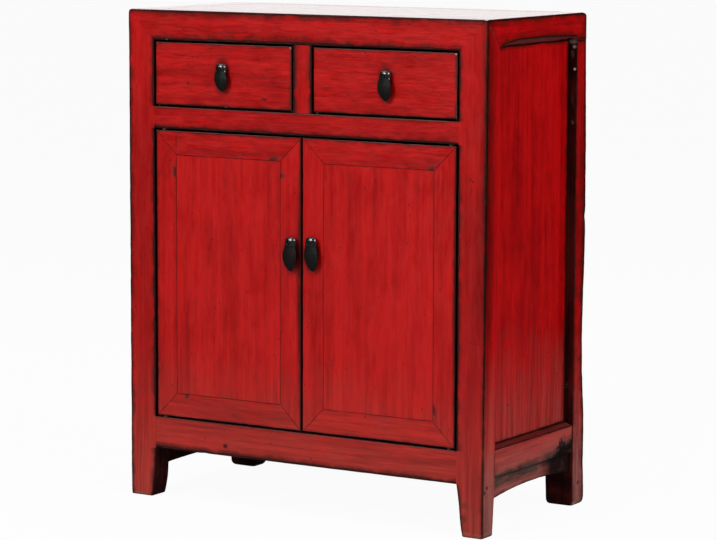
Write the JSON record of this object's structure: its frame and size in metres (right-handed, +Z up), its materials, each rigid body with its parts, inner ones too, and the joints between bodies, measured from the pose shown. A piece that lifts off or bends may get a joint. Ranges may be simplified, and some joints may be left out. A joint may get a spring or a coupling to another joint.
{
  "type": "kang cabinet",
  "caption": "Red lacquered framed wooden cabinet on short feet, with drawers over a pair of doors, flush mitred fronts, recessed side panels and leaf-shaped pendant pulls.",
  "frame": {"origin": "on the floor, under the middle of the object's bounding box", "axes": "+X to the right of someone facing the doors, +Y from the front to the back, +Z up"},
  "size_m": [0.75, 0.3926, 0.9],
  "materials": {
    "red_lacquer": "red lacquer, rubbed dark along the edges, satin to glossy",
    "bare_wood": "old unlacquered softwood",
    "black_iron": "blackened, waxed and glossy"
  },
  "bodies": {
    "case": {"back_panel_lower": "bare_wood", "back_panel_upper": "bare_wood", "bottom_rail": "red_lacquer", "door_stops": "bare_wood", "drawer_divider": "red_lacquer", "drawer_guides": "bare_wood", "drawer_rail": "red_lacquer", "drawer_runners": "bare_wood", "drawer_stops": "bare_wood", "floor_panel": "bare_wood", "post_front_left": "red_lacquer", "post_front_right": "red_lacquer", "post_rear_left": "red_lacquer", "post_rear_right": "red_lacquer", "rear_bottom_rail": "bare_wood", "rear_drawer_rail": "bare_wood", "shelf": "bare_wood", "shelf_bearers": "bare_wood", "side_apron_left": "red_lacquer", "side_apron_right": "red_lacquer", "side_bottom_rail_left": "red_lacquer", "side_bottom_rail_right": "red_lacquer", "side_panel_left": "red_lacquer", "side_panel_right": "red_lacquer", "top_panel": "red_lacquer", "top_rail_front": "red_lacquer", "top_rail_left": "red_lacquer", "top_rail_rear": "bare_wood", "top_rail_right": "red_lacquer"},
    "door_left": {"door_left_batten": "red_lacquer", "door_left_bottom_rail": "red_lacquer", "door_left_hinge_stile": "red_lacquer", "door_left_meeting_stile": "red_lacquer", "door_left_panel": "red_lacquer", "door_left_pull_pin": "black_iron", "door_left_top_rail": "red_lacquer"},
    "drawer_left": {"drawer_left_back": "bare_wood", "drawer_left_bottom": "bare_wood", "drawer_left_front": "red_lacquer", "drawer_left_inner_side": "bare_wood", "drawer_left_outer_side": "bare_wood", "drawer_left_pull_pin": "black_iron"},
    "door_left_pendant": {"door_left_pull_pendant": "black_iron"},
    "drawer_left_pendant": {"drawer_left_pull_pendant": "black_iron"},
    "door_right": {"door_right_batten": "red_lacquer", "door_right_bottom_rail": "red_lacquer", "door_right_hinge_stile": "red_lacquer", "door_right_meeting_stile": "red_lacquer", "door_right_panel": "red_lacquer", "door_right_pull_pin": "black_iron", "door_right_top_rail": "red_lacquer"},
    "drawer_right": {"drawer_right_back": "bare_wood", "drawer_right_bottom": "bare_wood", "drawer_right_front": "red_lacquer", "drawer_right_inner_side": "bare_wood", "drawer_right_outer_side": "bare_wood", "drawer_right_pull_pin": "black_iron"},
    "door_right_pendant": {"door_right_pull_pendant": "black_iron"},
    "drawer_right_pendant": {"drawer_right_pull_pendant": "black_iron"}
  },
  "joints": [
    {"name": "door_left_hinge", "type": "hinge", "parent": "case", "child": "door_left", "pos_m": [-0.301, -0.1727, 0.418], "axis": [0, 0, -1], "range_deg": [0, 110]},
    {"name": "drawer_left_slide", "type": "slide", "parent": "case", "child": "drawer_left", "axis": [0, -1, 0], "range_m": [0, 0.22]},
    {"name": "door_left_pendant_swing", "type": "hinge", "parent": "door_left", "child": "door_left_pendant", "pos_m": [-0.019, -0.1892, 0.4975], "axis": [-1, 0, 0], "range_deg": [0, 80]},
    {"name": "drawer_left_pendant_swing", "type": "hinge", "parent": "drawer_left", "child": "drawer_left_pendant", "pos_m": [-0.16725, -0.1892, 0.80075], "axis": [-1, 0, 0], "range_deg": [0, 80]},
    {"name": "door_right_hinge", "type": "hinge", "parent": "case", "child": "door_right", "pos_m": [0.301, -0.1727, 0.418], "axis": [0, 0, 1], "range_deg": [0, 110]},
    {"name": "drawer_right_slide", "type": "slide", "parent": "case", "child": "drawer_right", "axis": [0, -1, 0], "range_m": [0, 0.22]},
    {"name": "door_right_pendant_swing", "type": "hinge", "parent": "door_right", "child": "door_right_pendant", "pos_m": [0.024, -0.1892, 0.5], "axis": [-1, 0, 0], "range_deg": [0, 80]},
    {"name": "drawer_right_pendant_swing", "type": "hinge", "parent": "drawer_right", "child": "drawer_right_pendant", "pos_m": [0.17525, -0.1892, 0.80075], "axis": [-1, 0, 0], "range_deg": [0, 80]}
  ]
}
